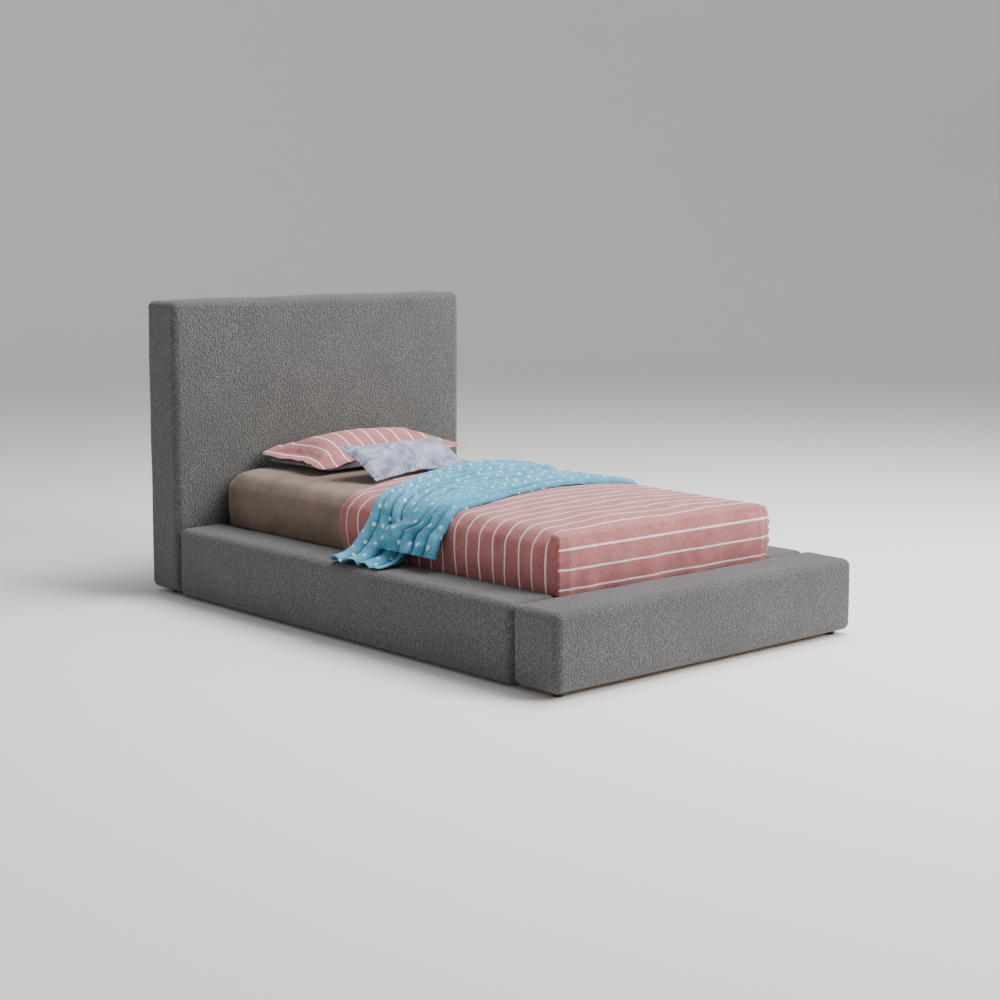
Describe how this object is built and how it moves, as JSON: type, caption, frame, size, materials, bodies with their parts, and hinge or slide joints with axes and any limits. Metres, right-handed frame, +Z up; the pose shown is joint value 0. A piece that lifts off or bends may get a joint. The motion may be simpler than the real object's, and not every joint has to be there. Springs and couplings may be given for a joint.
{
  "type": "trundle bed",
  "caption": "Upholstered twin bed with a padded headboard and a low padded surround, made up with bedding, and a trundle bed that rolls out from under one side.",
  "frame": {"origin": "on the floor, under the middle of the bed's length and width", "axes": "+Z up, +Y towards the headboard, -X towards the side the trundle rolls out of"},
  "size_m": [1.4478, 2.3622, 1.1557],
  "materials": {
    "boucle": "matte",
    "dust_cloth": "matte",
    "pine": "matte",
    "plywood": "matte",
    "steel": "satin",
    "zinc": "satin",
    "black_plastic": "matte",
    "nylon": "satin",
    "ticking": "matte",
    "tan_sheet": "matte",
    "rose_cotton": "matte",
    "blue_fleece": "matte",
    "grey_cotton": "matte",
    "velvet": "satin"
  },
  "bodies": {
    "bed": {"headboard_upholstery": "boucle", "headboard_frame": "pine", "headboard_back_panel": "dust_cloth", "footboard_upholstery": "boucle", "footboard_frame": "pine", "far_side_upholstery": "boucle", "far_side_frame": "pine", "glide_head_near": "black_plastic", "glide_head_far": "black_plastic", "glide_foot_near": "black_plastic", "glide_foot_far": "black_plastic", "glide_side_head": "black_plastic", "glide_side_foot": "black_plastic", "near_support_beam": "steel", "near_ledger": "pine", "far_ledger": "pine", "beam_bracket_head": "zinc", "beam_bracket_foot": "zinc", "corner_bracket_head": "zinc", "corner_bracket_foot": "zinc", "slat_01": "pine", "slat_02": "pine", "slat_03": "pine", "slat_04": "pine", "slat_05": "pine", "slat_06": "pine", "slat_07": "pine", "slat_08": "pine", "slat_09": "pine", "slat_10": "pine", "mattress": "ticking", "fitted_sheet": "tan_sheet", "quilt": "rose_cotton", "throw": "blue_fleece", "under_pillow": "grey_cotton", "flanged_pillow": "rose_cotton", "velvet_cushion": "velvet"},
    "trundle": {"trundle_front_upholstery": "boucle", "trundle_front_frame": "pine", "trundle_head_board": "pine", "trundle_foot_board": "pine", "trundle_back_board": "pine", "trundle_deck_foot": "plywood", "trundle_deck_head": "plywood", "trundle_middle_bearer": "pine", "trundle_mattress": "ticking", "caster_fork_near_foot": "zinc", "caster_fork_near_head": "zinc", "caster_fork_far_foot": "zinc", "caster_fork_far_head": "zinc", "caster_axle_near_foot": "zinc", "caster_axle_near_head": "zinc", "caster_axle_far_foot": "zinc", "caster_axle_far_head": "zinc"},
    "wheel_near_foot": {"caster_wheel_near_foot": "nylon"},
    "wheel_near_head": {"caster_wheel_near_head": "nylon"},
    "wheel_far_foot": {"caster_wheel_far_foot": "nylon"},
    "wheel_far_head": {"caster_wheel_far_head": "nylon"}
  },
  "joints": [
    {"name": "trundle_slide", "type": "slide", "parent": "bed", "child": "trundle", "axis": [-1, 0, 0], "range_m": [0, 1]},
    {"name": "wheel_near_foot_spin", "type": "hinge", "parent": "trundle", "child": "wheel_near_foot", "pos_m": [-0.4485, -0.7671, 0.02], "axis": [0, 1, 0], "continuous": true},
    {"name": "wheel_near_head_spin", "type": "hinge", "parent": "trundle", "child": "wheel_near_head", "pos_m": [-0.4485, 0.7751, 0.02], "axis": [0, 1, 0], "continuous": true},
    {"name": "wheel_far_foot_spin", "type": "hinge", "parent": "trundle", "child": "wheel_far_foot", "pos_m": [0.3924, -0.7671, 0.02], "axis": [0, 1, 0], "continuous": true},
    {"name": "wheel_far_head_spin", "type": "hinge", "parent": "trundle", "child": "wheel_far_head", "pos_m": [0.3924, 0.7751, 0.02], "axis": [0, 1, 0], "continuous": true}
  ],
  "couplings": [
    {"joint": "wheel_near_foot_spin", "follows": "trundle_slide", "rad_per_m": -50},
    {"joint": "wheel_near_head_spin", "follows": "trundle_slide", "rad_per_m": -50},
    {"joint": "wheel_far_foot_spin", "follows": "trundle_slide", "rad_per_m": -50},
    {"joint": "wheel_far_head_spin", "follows": "trundle_slide", "rad_per_m": -50}
  ]
}
